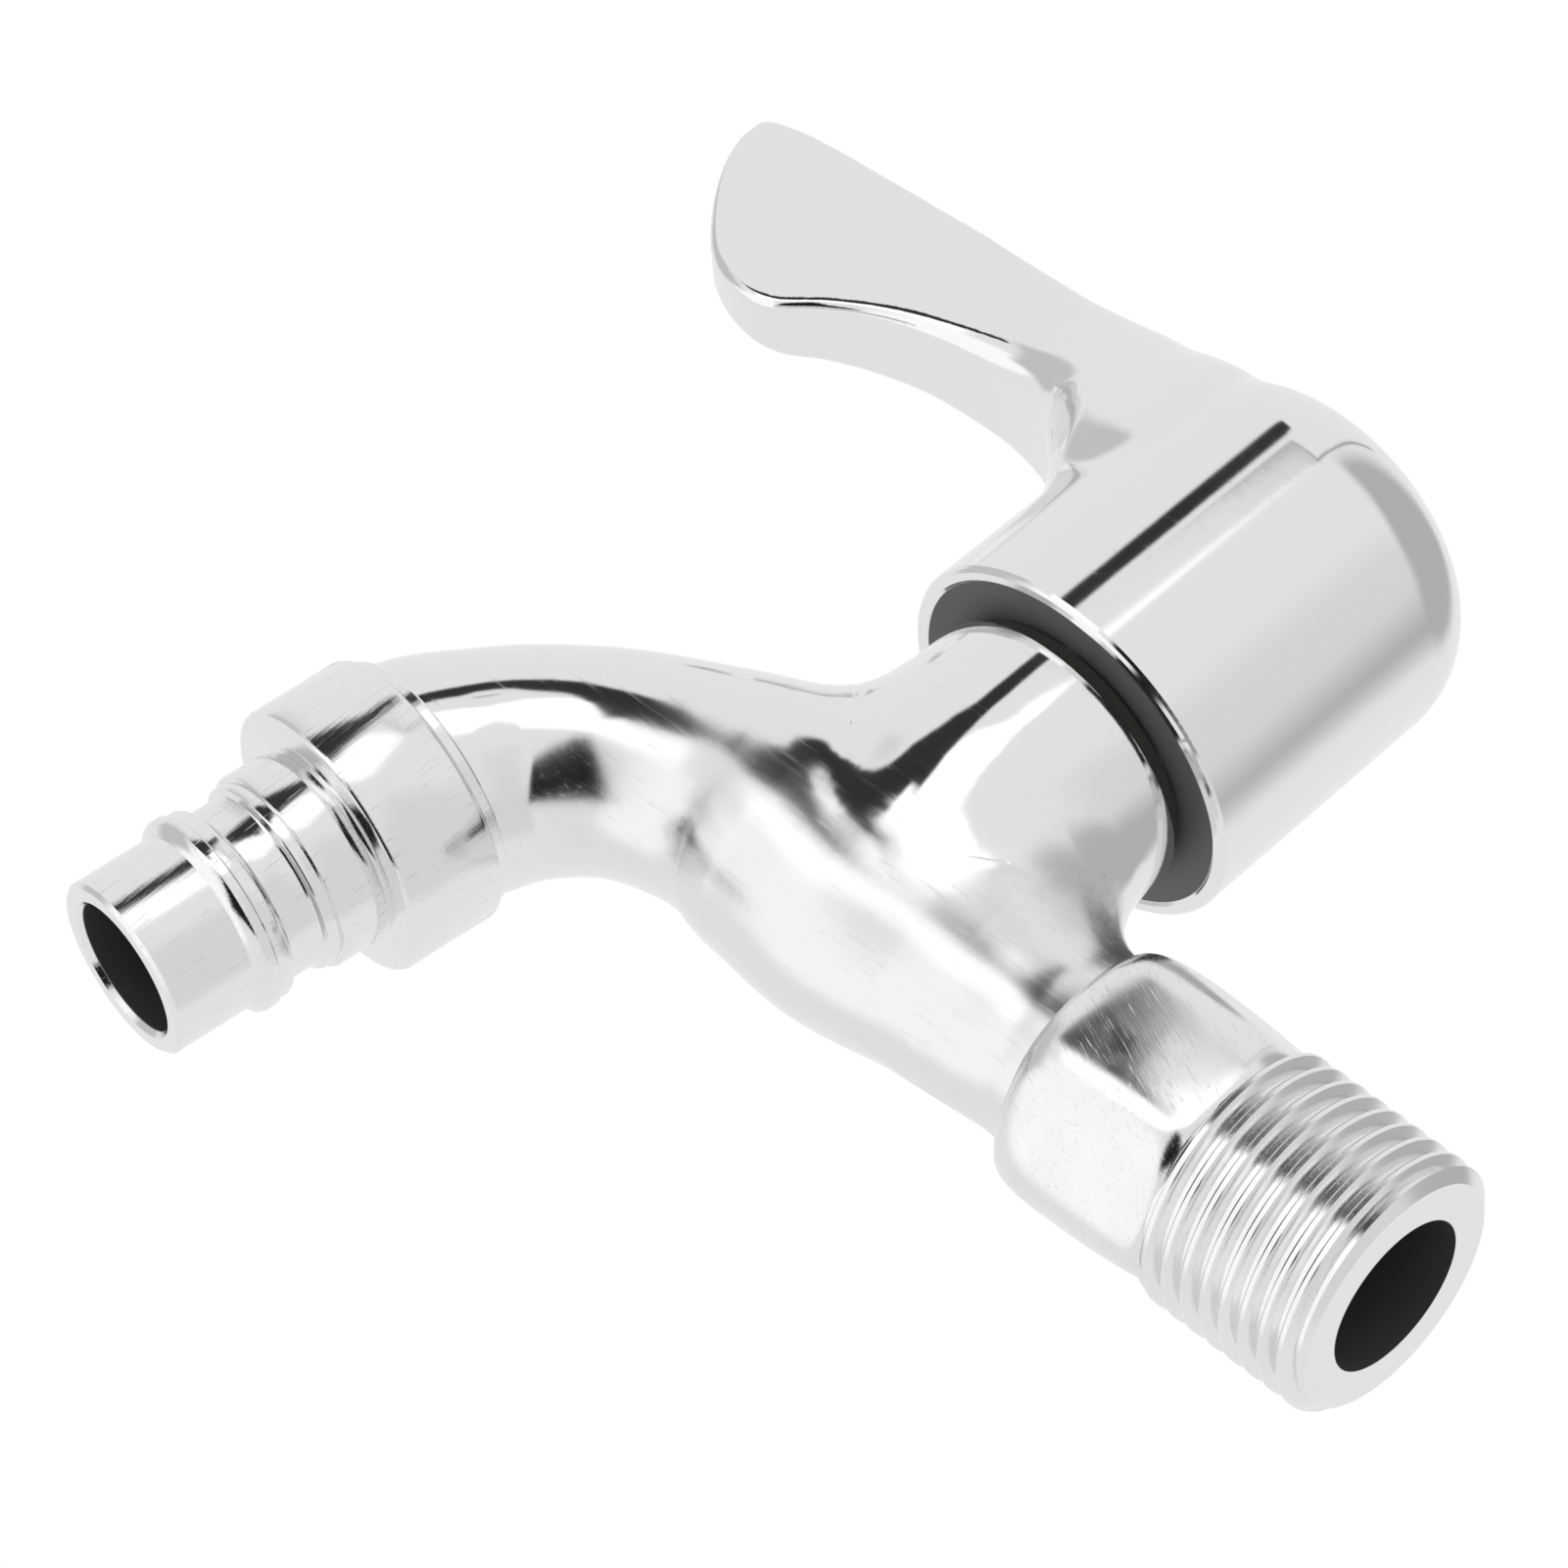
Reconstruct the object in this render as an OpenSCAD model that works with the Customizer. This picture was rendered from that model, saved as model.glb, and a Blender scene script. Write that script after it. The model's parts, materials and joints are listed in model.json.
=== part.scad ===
// Wall-mounted faucet: a one-piece cast body with a threaded inlet at the back,
// a hose nozzle at the front and a quarter-turn valve under a bell-shaped lever handle.
// Frame: +Z up along the valve axis, +Y towards the wall, spout and lever towards -Y.
// The origin is the centre of the inlet's end face.

/* [Inlet] */
// Outside diameter of the inlet thread
inlet_thread_d = 20.955; // [20.9:0.005:21]
// Pitch of the inlet thread
inlet_pitch = 1.814; // [1.8:0.002:1.83]
// Depth of the inlet thread's grooves
inlet_groove = 0.9; // [0.4:0.05:1.1]
// Length of the inlet thread
inlet_thread_len = 15.2; // [14:0.1:16]
// Diameter of the waterway at the inlet
inlet_bore_d = 12.6; // [11:0.1:13.2]
// Size of the wrench hexagon across its flats
wrench_flats = 20; // [19.6:0.1:20.6]
// Length of the wrench hexagon
wrench_len = 14.8; // [13:0.1:15.4]

/* [Body] */
// Distance from the inlet's end face to the valve axis
valve_reach = 51.2; // [50.5:0.1:52]
// Diameter of the neck that holds the cartridge
neck_d = 24.2; // [23.8:0.1:24.6]
// Height of the neck's top above the inlet axis
neck_top = 19.9; // [19.6:0.1:20.2]
// Thickness of the spout's wall
spout_wall = 2.6; // [2:0.1:3]

/* [Outlet] */
// Distance from the valve axis forward to the nozzle's end
outlet_reach = 36.2; // [35.9:0.1:36.6]
// Drop from the inlet axis to the nozzle's end
outlet_drop = 41.1; // [40.8:0.1:41.5]
// Forward tilt of the outlet from straight down, in degrees
outlet_tilt = 7.3; // [6:0.1:9]
// Diameter of the plain end of the hose nozzle
nozzle_d = 14.45; // [14:0.05:14.8]
// Diameter of the hose nozzle's bore
nozzle_bore_d = 10.85; // [9.8:0.05:11.2]
// Length of the hose nozzle ahead of its collar
nozzle_len = 18.4; // [18:0.1:19]
// Diameter of the collar
collar_d = 22.1; // [21.8:0.1:22.6]
// Length of the collar
collar_len = 8.2; // [8:0.1:8.6]

/* [Handle] */
// Outside diameter of the bell at its rim
bell_d = 31.4; // [31.1:0.1:31.7]
// Thickness of the bell's wall
bell_wall = 1.3; // [1:0.1:1.5]
// Height of the bell's rim above the inlet axis
rim_z = 20.9; // [20.8:0.1:21.1]
// Height of the bell's top above the inlet axis
dome_z = 52.2; // [51.9:0.1:52.6]
// Radius of the dome's rounded shoulder
dome_round = 8; // [7:0.1:8.5]
// Distance from the valve axis to the lever's tip
lever_reach = 61.4; // [60.4:0.1:62.4]
// Thickness of the lever's blade
lever_t = 4.5; // [4.2:0.1:5]

/* [Valve] */
// Diameter of the thread that holds the cartridge in the neck
cartridge_thread_d = 18.4; // [18.2:0.1:18.6]
// Width of the cartridge hexagon across its flats
cartridge_flats = 19; // [18:0.5:19.5]
// Diameter of the ceramic discs
disc_d = 13.5; // [13.3:0.05:13.5]
// Diameter of the spindle
spindle_d = 8; // [7.8:0.05:8]
// Number of teeth on the spindle's spline
spline_teeth = 20; // [16:2:24]

/* [Hidden] */
$fn = 96;
slack = 0.05;

// Levels inside the valve, measured up from the inlet axis
seat_z = 3.2;
seal_top = seat_z + 3;
fixed_top = seal_top + 2.4;
moving_base = fixed_top + slack;
moving_top = moving_base + 2.15;
flange_base = moving_top + 0.1;
flange_top = flange_base + 2.1;
cavity_top = flange_top + 0.7;
lower_groove_z = cavity_top + 1.7;
upper_groove_z = lower_groove_z + 4;
gasket_t = 1;
gasket_top = neck_top + gasket_t;
cartridge_hex_h = 4.6;
hex_top = gasket_top + cartridge_hex_h;
housing_top = hex_top + 1.5;
boss_base = housing_top + 3;
insert_len = 11;
spindle_top = boss_base + insert_len;
ceiling_z = dome_z - 6;
screw_seat = dome_z - 4.8;
button_len = 2;

// Widths worked out from the driving sizes
inlet_r = inlet_thread_d / 2;
neck_r = neck_d / 2;
chamber_r = cartridge_thread_d / 2 - 0.4;
collar_r = collar_d / 2;
spigot_r = 9.25;
spout_bore_r = 6;
spigot_len = 5.5;
washer_t = 1.5;
shoulder_r = 10.3;
shoulder_t = 1.1;
bell_r = bell_d / 2;
disc_r = disc_d / 2;
cavity_r = disc_r + slack;
spindle_r = spindle_d / 2;
stem_bore_r = spindle_r + slack;
spline_tip_r = spindle_r - 0.1;
spline_root_r = spindle_r - 0.6;
spline_gap = 0.03;
o_ring_wire = 1.1;
groove_r = 2.9;
insert_r = 5.4;
boss_r = 7.4;
button_r = 5.2;
back_len = inlet_thread_len + wrench_len;
waist = valve_reach - back_len;
gasket_r = 11.2;
groove_swing_r = 7.4;
groove_from = -28;
groove_to = 118;
stop_lug_r = 7;
stop_lug_half = 24;
screw_r = 2;
screw_hole_r = screw_r + 0.2;
screw_grip = 8;
tapped_depth = screw_grip + 3;
button_cap_r = button_r + 1;
collar_back = nozzle_len + collar_len;

// Stations along the body, each [forward of the valve axis, height, outside radius]
body_path = [
    [-waist - 0.8, 0, 9.2], [-waist + 1.7, 0, 8.2], [-waist + 5.2, 0, 8], [-8, -0.1, 8.6], [0, -0.5, 9.5],
    [7, 0.8, 10.2], [12.5, 1.2, 9.9], [18, -0.3, 9], [23.5, -3, 8.6],
    [28, -7, 8.8], [30.8, -11, 9.3]
];
// Stations along the spout's waterway, each [forward, height, radius]
water_path = [
    [7, 4.4, 4.2], [12, 2.6, 5.6], [18, -0.3, 6.2], [23.5, -3, 6.1], [28, -7, 6.1], [30.8, -11, 6.1]
];
// Stations along the lever, each [forward, half width, low edge, top edge, edge rounding]
lever_path = [
    [4, 12.6, 32, 52, 8], [8, 13.6, 32.2, 51.9, 8], [11, 12.9, 32.6, 51.9, 7.5],
    [14.6, 11.2, 34.2, 51.8, 6.5], [17.6, 9.7, 38, 51.8, 5], [21.1, 7.9, 41.2, 51.8, 3.6],
    [26.2, 6, 42.2, 51.9, 2.4], [33.2, 4.6, 41.7, 52, 1.4], [38.2, 3.95, 40.3, 52.1, 1],
    [42.2, 3.45, 38.3, 52.1, 0.9], [45.7, 3.05, 36, 52.1, 0.8], [49.3, 2.65, 35.7, 52.1, 0.8],
    [53.3, 2.25, 37.2, 52.1, 0.8], [56.9, 1.95, 40.6, 51.9, 0.8], [59.7, 1.7, 44.5, 51.4, 0.8],
    [61, 1.4, 47.4, 50.9, 0.7], [61.4, 0.9, 48.7, 50.4, 0.5]
];

// A point on a smooth curve through p[1] and p[2], at the fraction t between them
function curve_point(p, t) =
    0.5 * (2 * p[1] + t * (p[2] - p[0]) + t * t * (2 * p[0] - 5 * p[1] + 4 * p[2] - p[3])
    + t * t * t * (3 * p[1] - p[0] - 3 * p[2] + p[3]));
// All points of a smooth curve through a list of stations
function smooth(p, steps) = [
    for (i = [0 : len(p) - 2], s = [0 : steps - 1])
        curve_point([p[max(i - 1, 0)], p[i], p[i + 1], p[min(i + 2, len(p) - 1)]], s / steps),
    p[len(p) - 1]
];
// Direction of travel at point i of a path, in the upright plane
function heading(p, i) =
    let (d = p[min(i + 1, len(p) - 1)] - p[max(i - 1, 0)])
    [d[0], d[1]] / norm([d[0], d[1]]);
// The outlet axis, seen from the side, and a point on it at a distance from the nozzle's end
outlet_dir = [sin(outlet_tilt), -cos(outlet_tilt)];
function outlet_point(s) = [outlet_reach, -outlet_drop] - s * outlet_dir;
// The path's stations with its last one on the outlet axis, halfway into the spout's shoulder
function led_to_outlet(p, r) = concat(p, [concat(outlet_point(collar_back + shoulder_t / 2), r)]);
// A gear-like outline with straight-sided teeth
function toothed(root_r, tip_r, teeth) = [
    for (i = [0 : teeth - 1], k = [0 : 3])
        let (a = 360 / teeth * (i + [0.05, 0.32, 0.55, 0.82][k]), r = (k == 1 || k == 2) ? tip_r : root_r)
        r * [cos(a), sin(a)]
];
// The points of a round stretch of an outline
function arc(centre, r, from, to, steps) = [
    for (k = [0 : steps]) let (a = from + (to - from) * k / steps) centre + r * [cos(a), sin(a)]
];

// The triangles that join rings of points into a closed solid
function lofted_faces(rings, sides) = concat(
    [
        for (i = [0 : rings - 2], j = [0 : sides - 1], half = [0, 1])
            let (a = i * sides + j, b = i * sides + (j + 1) % sides)
            half == 0 ? [a, b + sides, b] : [a, a + sides, b + sides]
    ],
    [[for (j = [0 : sides - 1]) j], [for (j = [sides - 1 : -1 : 0]) (rings - 1) * sides + j]]
);

// Places its children on the valve axis
module at_valve() {
    translate([0, -valve_reach, 0]) children();
}

// Places its children on the outlet axis with z = 0 at the nozzle's end and +Z up the spout
module at_outlet() {
    translate([0, -valve_reach - outlet_reach, -outlet_drop]) rotate([-outlet_tilt, 0, 0]) children();
}

// A tube-like solid through stations of [forward, height, radius]
module swept(path, sides) {
    rings = len(path);
    points = [
        for (i = [0 : rings - 1], j = [0 : sides - 1])
            let (d = i == rings - 1 ? outlet_dir : heading(path, i), a = 360 * j / sides, r = path[i][2])
            [
                r * cos(a), -valve_reach - path[i][0] + r * sin(a) * d[1], path[i][1] + r * sin(a) * d[0]
            ]
    ];
    polyhedron(points, lofted_faces(rings, sides));
}

// A washer or sleeve standing on the height z
module ring(outer_r, inner_r, z, h) {
    translate([0, 0, z]) difference() {
        cylinder(r = outer_r, h = h);
        translate([0, 0, -1]) cylinder(r = inner_r, h = h + 2);
    }
}

// A plain upright cylinder between two heights
module post(r, z0, z1) {
    translate([0, 0, z0]) cylinder(r = r, h = z1 - z0);
}

// Two opposite windows in the shape of a slice of a ring, for a ceramic disc
module disc_windows(z0, z1, turn) {
    half = 37;
    for (side = [0, 180])
        translate([0, 0, z0]) rotate([0, 0, turn + side]) linear_extrude(z1 - z0)
            polygon(concat(arc([0, 0], 5.1, -half, half, 8), arc([0, 0], 1.8, half, -half, 4)));
}

// The inlet's thread as a row of flat-topped ridges, lying along -Y from the end face
module inlet_thread() {
    turns = floor(inlet_thread_len / inlet_pitch);
    root_r = inlet_r - inlet_groove;
    outline = concat(
        [[0, 0], [root_r - 0.2, 0], [inlet_r - 0.35, 1.0]],
        [
            for (i = [0 : turns - 1], k = [0 : 3])
                [k == 0 || k == 1 ? inlet_r : root_r, 1.0 + inlet_pitch * (i + [0.16, 0.4, 0.62, 0.94][k])]
        ],
        [[root_r, inlet_thread_len + 0.5], [0, inlet_thread_len + 0.5]]
    );
    rotate([90, 0, 0]) rotate_extrude() polygon(outline);
}

// The wrench hexagon with its corners turned off at both ends
module wrench_hex() {
    corner_r = wrench_flats / 2 / cos(30);
    turned_r = corner_r - 0.5;
    translate([0, -inlet_thread_len, 0]) rotate([90, 0, 0]) intersection() {
        rotate([0, 0, 30]) cylinder(r = corner_r, h = wrench_len, $fn = 6);
        rotate_extrude() polygon([
            [0, 0], [turned_r - 1.6, 0], [turned_r, 1.8], [turned_r, wrench_len - 2],
            [turned_r - 2, wrench_len], [0, wrench_len]
        ]);
    }
}

// The neck, which narrows into the barrel below it
module neck() {
    at_valve() rotate_extrude() polygon([
        [0, -2], [7.9, -2], [10.2, 3.5], [11.7, 8.5], [neck_r, 13], [neck_r, 17.5],
        [neck_r - 0.4, neck_top - 0.3], [neck_r - 0.7, neck_top], [0, neck_top]
    ]);
}

// The turned end of the spout: a shoulder and the spigot inside the collar
module spout_end() {
    at_outlet() {
        post(shoulder_r, collar_back, collar_back + shoulder_t);
        post(spigot_r, collar_back - spigot_len, collar_back + 1);
    }
}

// The waterway from the inlet to below the seat, the chamber, and the way down the spout
module waterway() {
    low_r = 4.2;
    low_z = -2.6;
    bore_len = back_len + 3;
    rotate([90, 0, 0]) translate([0, 0, -1]) cylinder(d = inlet_bore_d, h = bore_len + 1);
    translate([0, 1 - bore_len, low_z]) rotate([90, 0, 0]) cylinder(r = low_r, h = valve_reach - bore_len + 3);
    at_valve() {
        post(low_r, low_z, seat_z + 1);
        post(chamber_r, seat_z, 12);
        post(cartridge_thread_d / 2, 10, neck_top + 1);
    }
    swept(smooth(led_to_outlet(water_path, 6.2), 2), 24);
    at_outlet() post(spout_bore_r, collar_back - spigot_len - 1, collar_back + shoulder_t);
}

module body() {
    color([0.78, 0.79, 0.8]) difference() {
        union() {
            inlet_thread();
            wrench_hex();
            difference() {
                swept(smooth(led_to_outlet(body_path, 9.6), 2), 36);
                at_outlet() translate([-20, -20, 0]) cube([40, 40, collar_back + shoulder_t / 4]);
            }
            neck();
            spout_end();
        }
        waterway();
    }
}

module hose_nozzle() {
    nozzle_r = nozzle_d / 2;
    barb_r = 8.1;
    outline = [
        [0, 0], [nozzle_r - 0.3, 0], [nozzle_r, 0.4], [nozzle_r, 7], [barb_r, 8], [barb_r, 8.8],
        [7.85, 9.6], [7.1, 10.3], [7.1, 12.9], [7.7, 13.4], [7.7, 14.1], [barb_r, 14.5],
        [barb_r, nozzle_len - 1], [7.8, nozzle_len - 0.7], [7.8, nozzle_len], [collar_r - 0.6, nozzle_len],
        [collar_r, nozzle_len + 0.7], [collar_r, collar_back - 0.5], [collar_r - 0.5, collar_back],
        [0, collar_back]
    ];
    socket = collar_back - spigot_len - washer_t;
    color([0.8, 0.81, 0.82]) at_outlet() difference() {
        rotate_extrude() polygon(outline);
        post(nozzle_bore_d / 2, -1, socket + 1);
        post(spigot_r + slack, socket, collar_back + 1);
    }
}

module nozzle_washer() {
    color([0.15, 0.15, 0.16]) at_outlet()
        ring(spigot_r - 0.1, spout_bore_r, collar_back - spigot_len - washer_t, washer_t);
}

module cartridge_housing() {
    color([0.78, 0.62, 0.34]) at_valve() difference() {
        union() {
            post(7.9, 5.8, 13);
            post(cartridge_thread_d / 2 - 0.02, 12, gasket_top);
            translate([0, 0, gasket_top])
                cylinder(r = cartridge_flats / 2 / cos(30), h = cartridge_hex_h, $fn = 6);
            post(6.5, hex_top - 0.5, housing_top);
        }
        post(cavity_r, 5, cavity_top);
        post(stem_bore_r, cavity_top - 1, housing_top + 1);
        translate([-3.6, -10, moving_base]) cube([7.2, 20, 3]);
        stop_groove();
    }
}

// The groove in the housing in which the spindle's stop lug swings a quarter turn
module stop_groove() {
    translate([0, 0, flange_base - 0.2]) linear_extrude(cavity_top - flange_base + 0.2)
        polygon(concat([[0, 0]], arc([0, 0], groove_swing_r, groove_from, groove_to, 16)));
}

module housing_gasket() {
    color([0.45, 0.2, 0.14]) at_valve() ring(gasket_r, cartridge_thread_d / 2 + slack, neck_top, gasket_t);
}

module seat_seal() {
    color([0.12, 0.12, 0.13]) at_valve() ring(disc_r, 5.3, seat_z, seal_top - seat_z);
}

module seat_ring() {
    color([0.8, 0.8, 0.78]) at_valve() ring(5.28, 4.6, seat_z, seal_top - seat_z);
}

module fixed_disc() {
    color([0.93, 0.93, 0.9]) at_valve() difference() {
        post(disc_r, seal_top, fixed_top);
        disc_windows(seal_top - 1, fixed_top + 1, 90);
    }
}

module moving_disc() {
    color([0.93, 0.93, 0.9]) at_valve() difference() {
        post(disc_r - 0.35, moving_base, moving_top);
        disc_windows(moving_base - 1, moving_top + 1, 0);
        translate([-1.3, -5.2, moving_top - 0.9]) cube([2.6, 10.4, 2]);
    }
}

module spindle() {
    color([0.8, 0.64, 0.36]) at_valve() difference() {
        union() {
            translate([-1.2, -5, moving_top - 0.8]) cube([2.4, 10, 1.2]);
            post(6, flange_base, flange_top);
            translate([0, 0, flange_base]) linear_extrude(flange_top - flange_base)
                polygon(concat([[0, 0]], arc([0, 0], stop_lug_r, -stop_lug_half, stop_lug_half, 8)));
            post(spindle_r, flange_top - 1, boss_base);
            translate([0, 0, boss_base - 0.5]) linear_extrude(spindle_top - boss_base + 0.5)
                polygon(toothed(spline_root_r, spline_tip_r, spline_teeth));
        }
        for (z = [lower_groove_z, upper_groove_z])
            ring(spindle_r + 1, groove_r, z, o_ring_wire + 0.3);
        ring(spindle_r + 1, 3.4, housing_top + 0.1, 0.9);
        post(screw_r, spindle_top - tapped_depth, spindle_top + 1);
    }
}

module thrust_washer() {
    color([0.9, 0.9, 0.86]) at_valve() ring(6, stem_bore_r, flange_top + 0.02, 0.55);
}

// A ring of round wire on the spindle, in a groove that starts at the height z
module o_ring(z) {
    color([0.1, 0.1, 0.11]) at_valve() translate([0, 0, z + o_ring_wire / 2 + 0.15])
        rotate_extrude() translate([groove_r + o_ring_wire / 2 + 0.01, 0]) circle(d = o_ring_wire, $fn = 32);
}

module lower_o_ring() {
    o_ring(lower_groove_z);
}

module upper_o_ring() {
    o_ring(upper_groove_z);
}

module retaining_clip() {
    color([0.6, 0.6, 0.62]) at_valve() difference() {
        ring(5.6, 3.42, housing_top + 0.15, 0.8);
        translate([-1.6, 0, housing_top]) cube([3.2, 8, 2]);
    }
}

// The bell as a solid of revolution, before its hollow is cut
module bell_solid() {
    top_r = bell_r - 0.15;
    rotate_extrude() polygon(concat(
        [[0, rim_z], [bell_r - 0.3, rim_z], [bell_r, rim_z + 0.4]],
        arc([top_r - dome_round, dome_z - dome_round], dome_round, 0, 90, 12),
        [[0, dome_z]]
    ));
}

// The outline of the lever where a station cuts it, as [across, up] points
function lever_section(st) =
    let (w = st[1], low = st[2], top = st[3], r = min(st[4], w - 0.1, (top - low) / 2 - 0.1))
    concat(
        arc([w - r, top - r], r, 0, 90, 4), arc([r - w, top - r], r, 90, 180, 4),
        arc([r - w, low + r], r, 180, 270, 4), arc([w - r, low + r], r, 270, 360, 4)
    );

// The lever: a blade that stands upright and flares into the bell
module lever_blade() {
    path = smooth(lever_path, 3);
    stretch = lever_reach / 61.4;
    widen = lever_t / 4.5;
    rings = [for (st = path) [for (p = lever_section(st)) [p[0] * widen, -st[0] * stretch, p[1]]]];
    polyhedron([for (ring = rings) each ring], lofted_faces(len(rings), len(rings[0])));
}

module handle() {
    hollow_r = bell_r - bell_wall;
    color([0.79, 0.8, 0.81]) at_valve() difference() {
        union() {
            bell_solid();
            lever_blade();
        }
        rotate_extrude() polygon([
            [0, rim_z - 1], [hollow_r, rim_z - 1], [hollow_r - 0.2, ceiling_z - 4],
            [hollow_r - 3.5, ceiling_z], [boss_r, ceiling_z], [boss_r, boss_base], [0, boss_base]
        ]);
        post(insert_r, boss_base - 1, spindle_top);
        post(screw_hole_r, spindle_top - 1, screw_seat + 1);
        post(button_r, screw_seat, dome_z + 1);
    }
}

module spline_insert() {
    color([0.8, 0.64, 0.36]) at_valve() difference() {
        post(insert_r, boss_base, spindle_top);
        translate([0, 0, boss_base - 1]) linear_extrude(spindle_top - boss_base + 2)
            polygon(toothed(spline_root_r + spline_gap, spline_tip_r + spline_gap, spline_teeth));
    }
}

module screw_washer() {
    color([0.62, 0.63, 0.65]) at_valve() ring(4.2, screw_hole_r, screw_seat, 0.6);
}

module handle_screw() {
    head_base = screw_seat + 0.6;
    color([0.7, 0.71, 0.73]) at_valve() difference() {
        union() {
            post(screw_r, spindle_top - screw_grip, head_base + 0.5);
            post(3.6, head_base, head_base + 1.9);
        }
        translate([0, 0, head_base + 0.7]) cylinder(r = 1.5, h = 3, $fn = 6);
    }
}

module index_button() {
    color([0.75, 0.76, 0.78]) at_valve() rotate_extrude() polygon([
        [0, dome_z - button_len], [button_r, dome_z - button_len], [button_r, dome_z],
        [button_cap_r, dome_z], [button_cap_r, dome_z + 0.4], [button_cap_r - 0.5, dome_z + 0.8],
        [0, dome_z + 1]
    ]);
}

body();
hose_nozzle();
nozzle_washer();
cartridge_housing();
housing_gasket();
seat_seal();
seat_ring();
fixed_disc();
moving_disc();
spindle();
thrust_washer();
lower_o_ring();
upper_o_ring();
retaining_clip();
handle();
spline_insert();
screw_washer();
handle_screw();
index_button();
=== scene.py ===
"""Wall-mounted faucet: the dressed pieces, their finishes and the studio around them."""

import json
import math

import bmesh
import bpy
import numpy as np
from bpy.props import FloatProperty, FloatVectorProperty, IntProperty, PointerProperty
from mathutils import Matrix, Vector


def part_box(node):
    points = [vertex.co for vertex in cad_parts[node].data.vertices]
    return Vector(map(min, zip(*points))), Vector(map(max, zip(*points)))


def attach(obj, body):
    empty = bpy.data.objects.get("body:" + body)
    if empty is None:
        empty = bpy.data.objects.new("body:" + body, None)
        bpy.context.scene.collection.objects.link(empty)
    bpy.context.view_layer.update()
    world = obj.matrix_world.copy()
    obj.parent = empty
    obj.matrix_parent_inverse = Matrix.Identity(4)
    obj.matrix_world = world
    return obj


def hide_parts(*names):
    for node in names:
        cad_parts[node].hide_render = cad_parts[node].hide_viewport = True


bl_info = {
    "name": "Wall-mounted faucet",
    "version": (1, 0, 0),
    "blender": (4, 5, 0),
    "location": "View3D > Sidebar > Faucet",
    "description": "Builds the faucet's casting, nozzle, lever handle and studio around the solid model",
    "category": "Object",
}

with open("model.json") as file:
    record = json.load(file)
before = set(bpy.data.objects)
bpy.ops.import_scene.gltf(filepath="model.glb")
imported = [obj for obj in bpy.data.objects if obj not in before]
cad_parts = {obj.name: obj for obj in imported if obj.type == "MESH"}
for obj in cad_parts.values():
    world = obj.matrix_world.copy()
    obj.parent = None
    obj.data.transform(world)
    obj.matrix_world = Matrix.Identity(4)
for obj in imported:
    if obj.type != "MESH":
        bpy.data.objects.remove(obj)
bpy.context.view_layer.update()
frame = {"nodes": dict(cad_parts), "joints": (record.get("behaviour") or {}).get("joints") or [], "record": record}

MM = 0.001
TAP = "tap_body"
HANDLE = "handle"
VALVE_AXIS = Vector(frame["joints"][0]["pos_m"])
VALVE_Y = VALVE_AXIS.y
MOUNTS = {m["name"]: m for m in frame["record"]["mounts"]}
OUTLET_AXIS = Vector(MOUNTS["outlet_bore"]["axis"])
OUTLET_TIP = Vector(MOUNTS["outlet_bore"]["pos_m"])
INLET_R = MOUNTS["inlet_bore"]["dims"]["r_mm"]
INLET_DEPTH = MOUNTS["inlet_bore"]["dims"]["length_mm"]
OUTLET_R = MOUNTS["outlet_bore"]["dims"]["r_mm"]
THREAD_R = MOUNTS["inlet_thread"]["dims"]["r_mm"] * MM
BELL_LOW, BELL_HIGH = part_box("handle")

# Stations along the casting, each [forward of the valve axis, height, outside radius] in mm
CASTING_PATH = [
    (-27, 0, 9), (-25, 0, 8.6), (-20.5, 0, 8.1), (-18, 0, 7.9), (-14, 0, 8.2), (-8, -0.1, 8.6),
    (0, -0.5, 9.5), (7, 0.8, 10.2), (12.5, 1.2, 9.9), (18, -0.3, 9), (23.5, -3, 8.6), (28, -7, 8.8),
    (30.8, -11, 9.3),
]
# Outline of the neck, each [radius, height] in mm
NECK_OUTLINE = [
    (0, -2), (8.2, -2), (10.2, 2), (11.5, 6.5), (12, 10.5), (12.1, 14.5), (12.1, 18), (12, 22), (0, 22),
]
# Stations along the lever, each [forward, half width, low edge, top edge, edge rounding] in mm
LEVER_PATH = [
    (4, 12.7, 32, 52, 8), (8, 13.7, 32.2, 51.9, 8), (11, 13, 32.6, 51.9, 7.5),
    (14.6, 11.2, 34.2, 51.8, 6.5), (17.6, 9.7, 38, 51.8, 5), (21.1, 7.9, 41.2, 51.8, 3.6),
    (26.2, 6, 42.2, 51.9, 2.4), (33.2, 4.6, 41.7, 52, 1.4), (38.2, 3.95, 40.3, 52.1, 1),
    (42.2, 3.45, 38.3, 52.1, 0.9), (45.7, 3.05, 36, 52.1, 0.8), (49.3, 2.65, 35.7, 52.1, 0.8),
    (53.3, 2.25, 37.2, 52.1, 0.8), (56.9, 1.95, 40.6, 51.9, 0.8), (59.7, 1.7, 44.5, 51.4, 0.8),
    (61, 1.4, 47.4, 50.9, 0.7), (61.4, 0.9, 48.7, 50.4, 0.5),
]
# Heights of the collar's front and back above the nozzle's end, and the spout's radius there, in mm
COLLAR_FRONT, COLLAR_BACK = 18.4, 26.6
SPOUT_END_R = 9.6
# The wrench hexagon's points round a ring, its turn in degrees and how crisp its edges are
HEXAGON_POINTS, HEXAGON_TURN, HEXAGON_CRISP = 192, 32, 10
CLOUD_GRAIN = 90.0
DENT_GRAIN = 260.0
STROKE_GRAIN = 2400.0
RING_GRAIN = 4200.0
# Depth of a stroke, and how far outside a bore's wall the plating starts and is full, in metres
STROKE_DEPTH = 2.2e-6
PLATING_EDGE = (2e-5, 8e-5)
# How much rougher the bare metal is than the plating
BARE_ROUGHNESS = 0.5
# Numbers of a Mix node's colour sockets
MIX_FACTOR, MIX_A, MIX_B, MIX_RESULT = 0, 6, 7, 2
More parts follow.
